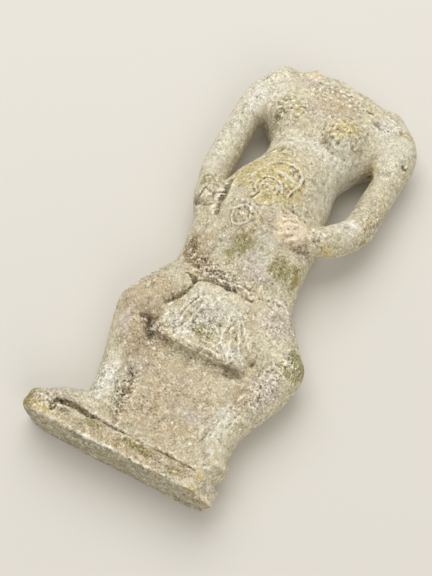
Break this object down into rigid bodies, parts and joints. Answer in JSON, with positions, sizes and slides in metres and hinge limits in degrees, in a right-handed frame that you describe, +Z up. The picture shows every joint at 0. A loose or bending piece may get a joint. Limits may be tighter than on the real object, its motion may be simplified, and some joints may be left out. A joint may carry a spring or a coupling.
{
  "type": "headless figurine",
  "caption": "Weathered pale clay figurine of a squatting woman, hands on her belly, head lost, lying on its flat back.",
  "frame": {"origin": "middle of the figure's outline, on the ground under its flat back", "axes": "+X across the figure to the viewer's right, +Y from the plinth towards the broken neck, +Z up out of the belly"},
  "size_m": [0.0696, 0.1462, 0.028],
  "materials": {
    "clay": "matte"
  },
  "bodies": {
    "root": {"figurine": "clay"}
  },
  "joints": []
}
